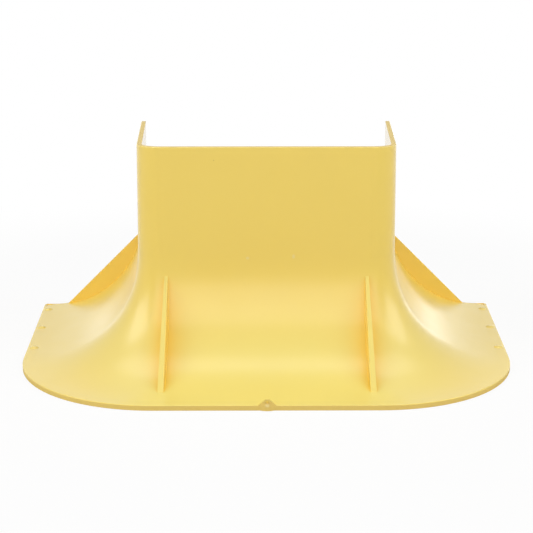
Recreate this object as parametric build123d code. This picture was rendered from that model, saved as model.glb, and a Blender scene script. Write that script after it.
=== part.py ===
"""Trumpet exit for a three-sided fibre raceway, moulded in one piece.

The channel stands upright. Its wide wall faces the front (minus Y), its two side walls run back and open
outward a little, and its back (plus Y) is open. At the foot the three walls flare out in a quarter round
to a flat lip, so that fibres leaving the channel never bend tighter than the flare.

Lengths are millimetres and angles are degrees. The lip stands on Z = 0. X = 0 is the plane of symmetry,
and the whole piece is centred on Y = 0.
"""

import os
from math import cos, hypot, radians, sin, tan

from build123d import *

# Channel
channel_width = 125.0  # outer width at the upper end, where the side faces meet the front face
channel_depth = 104.0  # from the front face at the upper end to the open edge
overall_height = 110.5
wall = 2.5
channel_corner_radius = 12.0  # outer corner at the upper end
side_splay = 4.5  # each side wall opens outward towards the open edge
mould_draft = 0.75  # every upright face leans out towards the foot

# Flare and lip
flare_radius = 54.0  # outer face
lip_flat = 5.3  # from the end of the flare to the lip's edge
lip_thickness = 2.5
lip_end_corner_radius = 1.5  # in plan, where the lip ends at the open side
edge_round = 0.5  # edges of the outer face, which the mould's cavity shapes
sharp_turn = 45.0  # faces that turn more than this meet in an edge that is rounded

# Gussets on the outside of the flare
gusset_top_thickness = 1.7
gusset_top_gap = 8.6  # below the upper end of the flare
gusset_foot_gap = 8.1  # inside the outer end of the flare
gusset_edge_round = 0.4
front_gusset_inset = 13.2  # from the side face at the upper end to each front gusset's middle

# Relief, a shallow wedge cut into the top of the lip at each open corner
relief_depth = 0.5  # at its outer end, beside the open edge
relief_length = 8.4
relief_width = 5.0
relief_rim = 0.7  # left standing along the open edge
relief_end_gap = 1.6  # from its outer end to the lip's edge

# Gate pad at the middle of the front edge
gate_base_width = 7.9
gate_top_width = 1.2
gate_height = 3.1  # above the lip
gate_length = 3.2  # back from the edge to where its ridge meets the lip
gate_swell = 0.8  # forward of the edge
gate_swell_width = 6.4
gate_dimple_diameter = 2.8
gate_dimple_depth = 1.2
gate_dimple_height = 3.5  # centre above the underside

# Low domes along the side edges of the lip
dome_diameter = 5.0
dome_height = 0.8  # above the lip
dome_edge_gap = 0.8  # from the dome to the lip's edge
dome_front_gap = 22.0  # from the front face at the upper end to the first dome's middle
dome_back_gap = 12.0  # from the open edge to the last dome's middle
domes_each_side = 3

# Derived sizes and places
splay = radians(side_splay)
draft = radians(mould_draft)
flare_tangent = flare_radius / tan(radians(45) + draft / 2)  # from either end to the corner of wall and lip
lip_reach = (overall_height - lip_thickness) * tan(draft) + flare_tangent + lip_flat
gusset_top = lip_thickness + flare_tangent - gusset_top_gap
front_face_y = (lip_reach + gate_swell - channel_depth) / 2
front_edge_y = front_face_y - lip_reach
open_edge_y = front_face_y + channel_depth
corner_centre_x = (
    channel_width / 2
    - channel_corner_radius * cos(splay)
    + channel_corner_radius * (1 - sin(splay)) * tan(splay)
)
corner_centre_y = front_face_y + channel_corner_radius
overrun = lip_reach  # spare length of a solid that is trimmed later


def wall_lean(height):
    """Distance that the outer face has leaned out at a height, from its place at the upper end."""
    return (overall_height - height) * tan(draft)


def flare_corner(share):
    """Where the wall and the lip would meet without the flare, at a share of the wall's thickness."""
    height = lip_thickness * (1 - share)
    return (wall_lean(height) - share * wall / cos(draft), height)


def wall_top(share):
    """Upper end of the wall in section, at a share of its thickness."""
    return (-share * wall / cos(draft), overall_height)


def side_face_x(y):
    """Outer face of the right side wall at the upper end."""
    return channel_width / 2 + (y - front_face_y) * tan(splay)


def section_face():
    """Section through wall, flare and lip: first coordinate outward, second coordinate up."""
    points = [
        wall_top(0),
        flare_corner(0),
        (lip_reach, lip_thickness),
        (lip_reach, 0),
        flare_corner(1),
        wall_top(1),
    ]
    bends = [0, flare_radius, 0, 0, flare_radius + wall, 0]
    return make_face(FilletPolyline(*points, radius=bends, close=True))


def outside_face():
    """Space outside the middle of the wall in section, which trims the foot of every rib."""
    middle = 0.5
    path = FilletPolyline(
        wall_top(middle),
        flare_corner(middle),
        (lip_reach, lip_thickness * middle),
        radius=flare_radius + wall * middle,
    )
    frame = Polyline(path @ 1, (lip_reach, overall_height), path @ 0)
    return make_face(path.edges() + frame.edges())


def section_plane(x, y, outward_angle):
    """Plane of a section at a point in plan, facing outward at an angle from plus X."""
    outward = Vector(cos(outward_angle), sin(outward_angle), 0)
    return Plane(origin=(x, y, 0), x_dir=outward, z_dir=outward.cross(Vector(0, 0, 1)))


def outer_edges(solid):
    """Edges with a sharp turn on the outer face, where neither of the two faces looks down."""
    found = []
    for edge in solid.edges():
        middle = edge @ 0.5
        faces = [face for face in solid.faces() if any(edge.is_same(other) for other in face.edges())]
        normals = [face.normal_at(middle) for face in faces]
        looks_up = min(normal.Z for normal in normals) > -sin(draft) / 2
        if looks_up and normals[0].get_angle(normals[-1]) > sharp_turn:
            found.append(edge)
    return found


def trough():
    """Channel, flare and lip: one section carried along the front, round two corners and down two sides."""
    section = section_face()
    front_plane = section_plane(corner_centre_x, front_face_y, radians(-90))
    front = extrude(front_plane * section, 2 * corner_centre_x)
    corner_axis = Axis((corner_centre_x, corner_centre_y, 0), (0, 0, 1))
    corner = revolve(front_plane * section, corner_axis, 90 - side_splay)
    side_plane = section_plane(
        corner_centre_x + channel_corner_radius * cos(splay),
        corner_centre_y - channel_corner_radius * sin(splay),
        -splay,
    )
    side = extrude(side_plane * section, -(channel_depth + overrun))
    side = split(side, Plane.XZ.offset(-open_edge_y), keep=Keep.TOP)
    right = corner + side
    whole = front + right + mirror(right, Plane.YZ)
    lip_ends = whole.edges().filter_by(Axis.Z).group_by(Axis.Y)[-1]
    whole = fillet(lip_ends, lip_end_corner_radius)
    return fillet(outer_edges(whole), edge_round)


def gusset_face():
    """Triangle on the outside of the flare in section, down to the middle of the wall."""
    foot, floor = flare_corner(0)
    rise = gusset_top - floor
    run = flare_tangent - gusset_foot_gap
    triangle = Polyline(
        (foot - wall, floor - lip_thickness),
        (foot + run + lip_thickness, floor - lip_thickness),
        (foot + run, floor),
        (foot, floor + rise),
        (foot - wall, floor + rise),
        close=True,
    )
    return make_face(triangle) & outside_face()


def draft_outline(low, high, low_lean, high_lean):
    """Outline across a gusset up to its top, thickening downward on each face that leans."""
    return Polygon(
        (low - low_lean * gusset_top, 0),
        (high + high_lean * gusset_top, 0),
        (high, gusset_top),
        (low, gusset_top),
        align=None,
    )


def round_crest(gusset):
    """Round the two long edges of a gusset's sloping face."""
    planes = gusset.faces().filter_by(GeomType.PLANE)
    slope = [face for face in planes if sin(draft) * 2 < face.normal_at().Z < cos(draft)]
    return fillet(slope[0].edges().sort_by(SortBy.LENGTH)[-2:], gusset_edge_round)


def front_gusset(middle_x):
    """Thin gusset on the front flare, square to the front wall."""
    plane = section_plane(middle_x, front_face_y, radians(-90))
    web = extrude(plane * gusset_face(), overrun, both=True)
    half = gusset_top_thickness / 2
    outline = draft_outline(middle_x - half, middle_x + half, tan(draft), tan(draft))
    return round_crest(web & extrude(Plane.XZ * outline, overrun + lip_reach, both=True))


def side_gusset():
    """Gusset on the right flare, flush with the open edge."""
    plane = section_plane(side_face_x(open_edge_y), open_edge_y, 0)
    web = extrude(plane * gusset_face(), overrun)
    outline = draft_outline(open_edge_y - gusset_top_thickness, open_edge_y, tan(draft), 0)
    return round_crest(web & extrude(Plane.YZ * outline, side_face_x(open_edge_y) + 2 * lip_reach))


def corner_relief():
    """Wedge cut out of the lip at the right open corner, deepest along the rim and fading out on the flare."""
    outer_end = lip_reach / cos(splay) - relief_end_gap
    outline = Polygon(
        (outer_end - relief_length, lip_thickness + relief_depth / 2),
        (outer_end, lip_thickness - relief_depth),
        (outer_end, lip_thickness + relief_length),
        align=None,
    )
    plane = section_plane(side_face_x(open_edge_y), open_edge_y - relief_rim, 0)
    slope = (0, -relief_width, relief_depth)
    return extrude(plane * outline, hypot(relief_width, relief_depth), dir=slope)


def gate_pad():
    """Wedge at the middle of the front edge, with a swollen nose and falling away behind."""
    crown = lip_thickness + gate_height
    ridge_end_y = front_edge_y + gate_length
    nose_y = front_edge_y - gate_swell
    block = Polygon(
        (-gate_base_width / 2, front_edge_y),
        (gate_base_width / 2, front_edge_y),
        (0, ridge_end_y),
        align=None,
    )
    nose = ThreePointArc(
        (-gate_swell_width / 2, front_edge_y),
        (0, nose_y),
        (gate_swell_width / 2, front_edge_y),
    )
    plan = block + make_face(nose.edges() + Line(nose @ 1, nose @ 0).edges())
    across = Polygon(
        (-gate_base_width / 2, 0),
        (gate_base_width / 2, 0),
        (gate_base_width / 2, lip_thickness),
        (gate_top_width / 2, crown),
        (-gate_top_width / 2, crown),
        (-gate_base_width / 2, lip_thickness),
        align=None,
    )
    along = Polygon(
        (nose_y, 0),
        (ridge_end_y, 0),
        (ridge_end_y, lip_thickness),
        (front_edge_y, crown),
        (nose_y, crown),
        align=None,
    )
    pad = extrude(plan, crown)
    pad = pad & extrude(Plane.XZ * across, overrun + lip_reach, both=True)
    return pad & extrude(Plane.YZ * along, gate_base_width, both=True)


def gate_dimple():
    """Conical dimple that the gate's stem leaves in the nose of the pad."""
    mouth = Plane((0, front_edge_y - gate_swell, gate_dimple_height), x_dir=(1, 0, 0), z_dir=(0, 1, 0))
    inward = (Align.CENTER, Align.CENTER, Align.MIN)
    return mouth * Cone(gate_dimple_diameter / 2, 0, gate_dimple_depth, align=inward)


def dome(place):
    """Low dome near the right edge of the lip, at a distance behind the front face."""
    radius = dome_diameter / 2
    root = -lip_thickness / 2
    bulge = (radius**2 + dome_height**2) / (2 * dome_height)
    crown = RadiusArc((radius, 0), (0, dome_height), -bulge)
    frame = Polyline(crown @ 1, (0, root), (radius, root), crown @ 0)
    y = front_face_y + place
    x = side_face_x(y) + lip_reach / cos(splay) - dome_edge_gap - radius
    return Pos(x, y, lip_thickness) * revolve(Plane.XZ * make_face(crown.edges() + frame.edges()), Axis.Z)


def dome_places():
    """Even spacing from the first dome to the last."""
    first = dome_front_gap
    last = channel_depth - dome_back_gap
    step = (last - first) / (domes_each_side - 1)
    return [first + step * number for number in range(domes_each_side)]


def both_sides(right):
    """A solid of the right side together with its mirror image on the left."""
    return [right, mirror(right, Plane.YZ)]


def trumpet_exit():
    """The whole moulding."""
    gussets = both_sides(front_gusset(channel_width / 2 - front_gusset_inset)) + both_sides(side_gusset())
    details = [gate_pad()]
    for place in dome_places():
        details += both_sides(dome(place))
    cuts = both_sides(corner_relief()) + [gate_dimple()]
    return trough() + gussets + details - cuts


os.makedirs("parts", exist_ok=True)
export_step(trumpet_exit(), "parts/trumpet_exit.step")
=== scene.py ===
"""Studio view of a trumpet exit for a fibre raceway: one moulding in semi-gloss yellow plastic."""

from math import pi, radians

import bpy
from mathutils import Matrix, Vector


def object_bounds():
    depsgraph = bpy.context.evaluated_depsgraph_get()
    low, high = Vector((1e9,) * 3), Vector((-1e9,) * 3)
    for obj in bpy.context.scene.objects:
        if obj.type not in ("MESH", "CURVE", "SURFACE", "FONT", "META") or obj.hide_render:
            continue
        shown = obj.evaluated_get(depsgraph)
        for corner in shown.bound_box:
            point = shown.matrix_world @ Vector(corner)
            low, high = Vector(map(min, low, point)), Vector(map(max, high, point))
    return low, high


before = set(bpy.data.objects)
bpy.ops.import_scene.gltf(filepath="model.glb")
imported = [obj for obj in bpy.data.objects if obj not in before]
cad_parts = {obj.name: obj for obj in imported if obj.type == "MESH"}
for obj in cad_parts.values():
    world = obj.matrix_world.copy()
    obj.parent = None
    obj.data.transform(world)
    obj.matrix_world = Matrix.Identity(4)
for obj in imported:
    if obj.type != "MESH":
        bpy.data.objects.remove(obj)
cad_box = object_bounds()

MM = 0.001
low_corner, high_corner = cad_box

# Camera
image_side = 533  # pixels
focal_pixels = 1101.0
sensor_width = 36.0  # millimetres
camera_place = Vector((-2.7, -545.5, 185.4)) * MM
camera_pitch = 14.33  # degrees below the horizon
camera_turn = 0.29  # degrees towards plus X

# Light: name, place, target, width and height in metres, brightness
sky_strength = 0.04
softboxes = [
    ("front", (0.00, -1.15, 0.75), (0.00, -0.05, 0.03), (1.60, 1.00), 1.72),
    ("top", (0.00, 0.22, 1.10), (0.00, -0.05, 0.00), (1.30, 0.50), 2.0),
    ("left", (-1.00, -0.30, 0.78), (-0.06, -0.03, 0.03), (0.75, 0.75), 3.4),
    ("right", (1.00, -0.26, 0.75), (0.06, -0.03, 0.03), (0.75, 0.75), 2.9),
    ("back_right", (0.62, 1.15, 0.05), (0.10, 0.00, 0.02), (0.80, 0.10), 2.1),
    ("back_left", (-0.55, 1.18, 0.05), (-0.10, 0.00, 0.02), (0.70, 0.10), 0.85),
]

# Floor
white = (1.0, 1.0, 1.0, 1.0)
floor_colour = (0.9, 0.9, 0.9, 1.0)
floor_half = 6.0  # metres
floor_drop = 0.1 * MM  # below the lip
shadow_radius = 0.22  # metres, beyond which the shadow fades
shadow_whiteness = 0.9  # share of plain white inside that radius

# Colours of the plastic
pale_colour = (0.87, 0.643, 0.102, 1.0)
deep_colour = (0.85, 0.617, 0.092, 1.0)
# painted light: paler colour of the upward faces
top_light_colour = (0.845, 0.715, 0.190, 1.0)
# painted glow of the thin gussets
gusset_glow_colour = (0.93, 0.650, 0.088, 1.0)
# painted shade near the roots of the gussets
root_shade_colour = (0.88, 0.60, 0.060, 1.0)
edge_colour = (0.76, 0.55, 0.14, 1.0)
rim_colour = (0.78, 0.60, 0.24, 1.0)
# paler scuffs, and the painted highlight on the gate's dimple
scuff_and_highlight_colour = (0.84, 0.70, 0.34, 1.0)
speck_colour = (0.56, 0.38, 0.06, 1.0)

# Gloss of the plastic, under a clearer skin
plastic_index = 1.5
smooth_roughness = 0.50
dull_roughness = 0.56
edge_roughness = 0.8
inner_roughness = 0.10
scuff_and_highlight_roughness = 0.2  # added to the rest
skin_index = 1.5
skin_roughness = 0.26

# Uneven tone, wear and grain: size and detail of the noise
tone_size = 45 * MM
tone_detail = 3.0
wear_size = 14 * MM
wear_detail = 5.0
wear_low = 0.3
wear_high = 0.7
grain_size = 0.35 * MM
grain_detail = 2.0
grain_height = 0.0035 * MM

# Painted light: upward faces are painted paler, as if lit from above, most of all in the middle
top_middle = 45.0 * MM
top_side = 95.0 * MM
top_middle_share = 0.9
top_side_share = 0.3
top_slope = 0.2  # upward part of the direction at which they begin

# Faces at the edge of the moulding, which are duller than the rest
rim_height = high_corner.z - 0.1 * MM
lip_edge_height = 2.02 * MM
front_edge_y = low_corner.y + 1.4 * MM
open_edge_y = high_corner.y - 0.2 * MM
upright_slope = 0.5  # upward part of the direction below which a face is upright

# Inside of the channel, smoother than the outside: a point behind and below all of it, and the front wall
inner_point = Vector((0, 90, -20)) * MM
inner_wall_y = -21.5 * MM

# Gussets, painted brighter and warmer than the wall, as painted light glowing through their thin plastic
side_gusset_y = high_corner.y - 2.5 * MM
front_gusset_x = 49.3 * MM
front_gusset_half = 1.3 * MM
gusset_foot_height = 4.0 * MM
broad_side = 0.8  # sideways part of the direction above which a front gusset's face is a broad one

# Painted shade: deeper colour near the roots of the gussets, from ambient occlusion
root_reach = 16.0 * MM
root_samples = 16
root_share = 0.9
root_closed = 0.5  # openness of the surface where the share is full
root_open = 0.97  # and where it has faded

# Small marks, and a painted highlight on the lower half of the gate's dimple: centre and half sizes in
# millimetres
scuffs_and_highlight = [
    ((-9.3, -22.5, 56.0), (1.2, 4.0, 1.1)),
    ((13.2, -22.5, 56.8), (1.0, 4.0, 1.6)),
    ((-114.0, 62.0, 6.6), (0.9, 3.0, 3.0)),
    # painted highlight on the lower half of the gate's dimple
    ((0.0, -82.0, 2.6), (1.6, 3.0, 1.3)),
]
specks = [
    ((-25.4, -22.0, 104.1), (0.5, 4.0, 0.4)),
    ((112.0, 55.0, 7.0), (0.6, 0.9, 3.0)),
]
spot_core = 0.3  # share of a mark's size that is full
scuff_and_highlight_least = 0.3
scuff_and_highlight_most = 0.8
speck_share = 0.6


def new_material(name):
    """An empty material and its node tree."""
    material = bpy.data.materials.new(name)
    material.use_nodes = True
    tree = material.node_tree
    tree.nodes.clear()
    return material, tree


def calculate(tree, operation, *values):
    """The result of a Math node on sockets and numbers."""
    node = tree.nodes.new("ShaderNodeMath")
    node.operation = operation
    for socket, value in zip(node.inputs, values):
        if isinstance(value, (int, float)):
            socket.default_value = value
        else:
            tree.links.new(value, socket)
    return node.outputs[0]


def vector_math(tree, operation, first, second=None):
    """The outputs of a Vector Math node on a socket and, if it takes two, a socket or a constant."""
    node = tree.nodes.new("ShaderNodeVectorMath")
    node.operation = operation
    tree.links.new(first, node.inputs[0])
    if isinstance(second, Vector):
        node.inputs[1].default_value = second
    elif second is not None:
        tree.links.new(second, node.inputs[1])
    return node.outputs


def axes(tree, vector):
    """The X, Y and Z of a vector, by name."""
    node = tree.nodes.new("ShaderNodeSeparateXYZ")
    tree.links.new(vector, node.inputs[0])
    return node.outputs


def direction(tree):
    """The way that the surface faces."""
    return tree.nodes.new("ShaderNodeNewGeometry").outputs["Normal"]


def seen_directly(tree):
    """A value of 1 for camera, glossy and transmission rays and 0 for diffuse ones."""
    path = tree.nodes.new("ShaderNodeLightPath").outputs
    either = calculate(tree, "MAXIMUM", path["Is Camera Ray"], path["Is Glossy Ray"])
    return calculate(tree, "MAXIMUM", either, path["Is Transmission Ray"])


def noise(tree, coordinates, size, detail):
    """Even noise from 0 to 1 with features of a size in metres."""
    node = tree.nodes.new("ShaderNodeTexNoise")
    node.inputs["Scale"].default_value = 1 / size
    node.inputs["Detail"].default_value = detail
    tree.links.new(coordinates, node.inputs["Vector"])
    return node.outputs["Fac"]


def blend(tree, share, first, second):
    """A colour between two, each a socket or a constant."""
    node = tree.nodes.new("ShaderNodeMix")
    node.data_type = "RGBA"
    tree.links.new(share, node.inputs["Factor"])
    for socket, value in zip((node.inputs[6], node.inputs[7]), (first, second)):
        if isinstance(value, tuple):
            socket.default_value = value
        else:
            tree.links.new(value, socket)
    return node.outputs[2]


def spread(tree, share, low, high, from_low=0.0, from_high=1.0):
    """A value between two numbers, smooth at both ends."""
    node = tree.nodes.new("ShaderNodeMapRange")
    node.interpolation_type = "SMOOTHSTEP"
    node.inputs["From Min"].default_value = from_low
    node.inputs["From Max"].default_value = from_high
    node.inputs["To Min"].default_value = low
    node.inputs["To Max"].default_value = high
    tree.links.new(share, node.inputs["Value"])
    return node.outputs["Result"]


def spots(tree, coordinates, places):
    """A mask of soft oval spots."""
    mask = 0.0
    for centre, half_sizes in places:
        offset = vector_math(tree, "SUBTRACT", coordinates, Vector(centre) * MM)["Vector"]
        ratio = vector_math(tree, "DIVIDE", offset, Vector(half_sizes) * MM)["Vector"]
        distance = vector_math(tree, "LENGTH", ratio)["Value"]
        spot = spread(tree, distance, 1.0, 0.0, spot_core, 1.0)
        mask = calculate(tree, "MAXIMUM", spot, mask)
    return mask


def painted_top_light(tree, coordinates):
    """A mask of painted top light: the faces that lie upward, fainter towards both sides."""
    aside = calculate(tree, "ABSOLUTE", axes(tree, coordinates)["X"])
    share = spread(tree, aside, top_middle_share, top_side_share, top_middle, top_side)
    upward = spread(tree, axes(tree, direction(tree))["Z"], 0.0, 1.0, top_slope, 1.0)
    return calculate(tree, "MULTIPLY", upward, share)


def edge_faces(tree, coordinates):
    """Masks of all edge faces (rim, lip's edge, gate's face and open edges) and of the rim alone."""
    place = axes(tree, coordinates)
    slope = calculate(tree, "ABSOLUTE", axes(tree, direction(tree))["Z"])
    upright = calculate(tree, "LESS_THAN", slope, upright_slope)
    low = calculate(tree, "LESS_THAN", place["Z"], lip_edge_height)
    front = calculate(tree, "LESS_THAN", place["Y"], front_edge_y)
    around = calculate(tree, "MULTIPLY", upright, calculate(tree, "MAXIMUM", low, front))
    back = calculate(tree, "GREATER_THAN", place["Y"], open_edge_y)
    rim = calculate(tree, "GREATER_THAN", place["Z"], rim_height)
    return calculate(tree, "MAXIMUM", around, calculate(tree, "MAXIMUM", rim, back)), rim


def inner_faces(tree, coordinates):
    """A mask of the inside of the channel and of the flare's underside behind the front wall."""
    offset = vector_math(tree, "SUBTRACT", coordinates, inner_point)["Vector"]
    outward = vector_math(tree, "DOT_PRODUCT", offset, direction(tree))["Value"]
    inward = calculate(tree, "LESS_THAN", outward, 0.0)
    behind = calculate(tree, "GREATER_THAN", axes(tree, coordinates)["Y"], inner_wall_y)
    return calculate(tree, "MULTIPLY", inward, behind)


def painted_glow_faces(tree, coordinates):
    """A mask of painted glow: the side gussets and the broad faces of the front ones."""
    place = axes(tree, coordinates)
    far = calculate(tree, "GREATER_THAN", place["Y"], side_gusset_y)
    aside = calculate(tree, "ABSOLUTE", place["X"])
    away = calculate(tree, "ABSOLUTE", calculate(tree, "SUBTRACT", aside, front_gusset_x))
    near = calculate(tree, "LESS_THAN", away, front_gusset_half)
    sideways = calculate(tree, "ABSOLUTE", axes(tree, direction(tree))["X"])
    broad = calculate(tree, "GREATER_THAN", sideways, broad_side)
    either = calculate(tree, "MAXIMUM", far, calculate(tree, "MULTIPLY", near, broad))
    raised = calculate(tree, "GREATER_THAN", place["Z"], gusset_foot_height)
    return calculate(tree, "MULTIPLY", either, raised)


def painted_root_shade(tree):
    """A mask of painted shade on the surface close to the root of a gusset."""
    node = tree.nodes.new("ShaderNodeAmbientOcclusion")
    node.samples = root_samples
    node.only_local = True
    node.inputs["Distance"].default_value = root_reach
    return spread(tree, node.outputs["AO"], root_share, 0.0, root_closed, root_open)


def plastic_material():
    """Yellow moulding plastic: fine grain, uneven tone and gloss, duller edges and a few marks, with
    painted light: paler upward faces, glowing gussets, painted shade at the gusset roots and a painted
    highlight on the gate's dimple.
    """
    material, tree = new_material("yellow_plastic_and_painted_light")
    coordinates = tree.nodes.new("ShaderNodeTexCoord").outputs["Object"]
    edges, rim = edge_faces(tree, coordinates)
    inner = inner_faces(tree, coordinates)
    outer = calculate(tree, "SUBTRACT", 1.0, calculate(tree, "MAXIMUM", edges, inner))
    tone = noise(tree, coordinates, tone_size, tone_detail)
    wear = noise(tree, coordinates, wear_size, wear_detail)
    scuff_and_highlight_share = spread(tree, wear, scuff_and_highlight_least, scuff_and_highlight_most)
    scuffed_and_highlit = calculate(tree, "MULTIPLY", spots(tree, coordinates, scuffs_and_highlight), scuff_and_highlight_share)
    specked = calculate(tree, "MULTIPLY", spots(tree, coordinates, specks), speck_share)

    colour = blend(tree, tone, deep_colour, pale_colour)
    # Painted light: upward faces paler, as if lit from above
    colour = blend(tree, painted_top_light(tree, coordinates), colour, top_light_colour)
    # Painted shade: deeper colour near the roots of the gussets
    colour = blend(tree, painted_root_shade(tree), colour, root_shade_colour)
    # Painted glow: gussets brighter and warmer, as if lit through
    colour = blend(tree, painted_glow_faces(tree, coordinates), colour, gusset_glow_colour)
    colour = blend(tree, edges, colour, edge_colour)
    colour = blend(tree, rim, colour, rim_colour)
    # Scuffs, and a painted highlight on the gate's dimple
    colour = blend(tree, scuffed_and_highlit, colour, scuff_and_highlight_colour)
    colour = blend(tree, specked, colour, speck_colour)

    worn = spread(tree, wear, smooth_roughness, dull_roughness, wear_low, wear_high)
    gloss = calculate(tree, "MULTIPLY", outer, worn)
    for mask, roughness in ((inner, inner_roughness), (edges, edge_roughness)):
        gloss = calculate(tree, "MAXIMUM", gloss, calculate(tree, "MULTIPLY", mask, roughness))
    gloss = calculate(tree, "ADD", gloss, calculate(tree, "MULTIPLY", scuffed_and_highlit, scuff_and_highlight_roughness))

    bump = tree.nodes.new("ShaderNodeBump")
    bump.inputs["Distance"].default_value = grain_height
    tree.links.new(outer, bump.inputs["Strength"])
    tree.links.new(noise(tree, coordinates, grain_size, grain_detail), bump.inputs["Height"])

    shader = tree.nodes.new("ShaderNodeBsdfPrincipled")
    shader.inputs["IOR"].default_value = plastic_index
    shader.inputs["Coat IOR"].default_value = skin_index
    shader.inputs["Coat Roughness"].default_value = skin_roughness
    tree.links.new(outer, shader.inputs["Coat Weight"])
    tree.links.new(bump.outputs[0], shader.inputs["Coat Normal"])
    tree.links.new(colour, shader.inputs["Base Color"])
    tree.links.new(gloss, shader.inputs["Roughness"])
    tree.links.new(bump.outputs[0], shader.inputs["Normal"])
    output = tree.nodes.new("ShaderNodeOutputMaterial")
    tree.links.new(shader.outputs[0], output.inputs["Surface"])
    return material


def floor_material():
    """White floor that shows the shadow faintly near the piece and is plain white beyond."""
    material, tree = new_material("white_floor")
    coordinates = tree.nodes.new("ShaderNodeTexCoord").outputs["Object"]
    away = vector_math(tree, "LENGTH", coordinates)["Value"]
    plain = spread(tree, away, shadow_whiteness, 1.0, shadow_radius, 2 * shadow_radius)
    diffuse = tree.nodes.new("ShaderNodeBsdfDiffuse")
    diffuse.inputs["Color"].default_value = floor_colour
    glow = tree.nodes.new("ShaderNodeEmission")
    glow.inputs["Strength"].default_value = 1.0
    mix = tree.nodes.new("ShaderNodeMixShader")
    tree.links.new(calculate(tree, "MULTIPLY", seen_directly(tree), plain), mix.inputs[0])
    tree.links.new(diffuse.outputs[0], mix.inputs[1])
    tree.links.new(glow.outputs[0], mix.inputs[2])
    output = tree.nodes.new("ShaderNodeOutputMaterial")
    tree.links.new(mix.outputs[0], output.inputs["Surface"])
    return material


def add_floor():
    """A wide white floor just under the lip."""
    mesh = bpy.data.meshes.new("floor")
    ring = ((-1, -1), (1, -1), (1, 1), (-1, 1))
    corners = [(floor_half * x, floor_half * y, -floor_drop) for x, y in ring]
    mesh.from_pydata(corners, [], [(0, 1, 2, 3)])
    floor = bpy.data.objects.new("floor", mesh)
    bpy.context.scene.collection.objects.link(floor)
    mesh.materials.append(floor_material())


def add_world():
    """White surroundings as seen, softer as a light."""
    world = bpy.data.worlds.new("studio")
    bpy.context.scene.world = world
    world.use_nodes = True
    tree = world.node_tree
    tree.nodes.clear()
    sky = tree.nodes.new("ShaderNodeBackground")
    sky.inputs["Color"].default_value = white
    sky.inputs["Strength"].default_value = sky_strength
    backdrop = tree.nodes.new("ShaderNodeBackground")
    backdrop.inputs["Color"].default_value = white
    mix = tree.nodes.new("ShaderNodeMixShader")
    tree.links.new(seen_directly(tree), mix.inputs[0])
    tree.links.new(sky.outputs[0], mix.inputs[1])
    tree.links.new(backdrop.outputs[0], mix.inputs[2])
    output = tree.nodes.new("ShaderNodeOutputWorld")
    tree.links.new(mix.outputs[0], output.inputs["Surface"])


def add_softbox(name, place, target, size, brightness):
    """A soft rectangular lamp, unseen by the camera, that points from its place at a target."""
    lamp = bpy.data.lights.new(name, "AREA")
    lamp.shape = "RECTANGLE"
    lamp.size, lamp.size_y = size
    lamp.energy = brightness * pi * size[0] * size[1]
    softbox = bpy.data.objects.new(name, lamp)
    softbox.location = place
    softbox.rotation_euler = (Vector(target) - Vector(place)).to_track_quat("-Z", "Y").to_euler()
    softbox.visible_camera = False
    bpy.context.scene.collection.objects.link(softbox)


def add_camera():
    """The camera at the photograph's angle, for a square picture."""
    camera = bpy.data.cameras.new("camera")
    camera.sensor_width = sensor_width
    camera.lens = focal_pixels * sensor_width / image_side
    camera_object = bpy.data.objects.new("camera", camera)
    camera_object.location = camera_place
    camera_object.rotation_euler = (radians(90 - camera_pitch), 0, radians(-camera_turn))
    bpy.context.scene.collection.objects.link(camera_object)
    bpy.context.scene.camera = camera_object


bpy.context.scene.view_settings.view_transform = "Standard"
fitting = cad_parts["trumpet_exit"]
fitting.material_slots[0].material = plastic_material()
add_floor()
add_world()
for softbox in softboxes:
    add_softbox(*softbox)
add_camera()
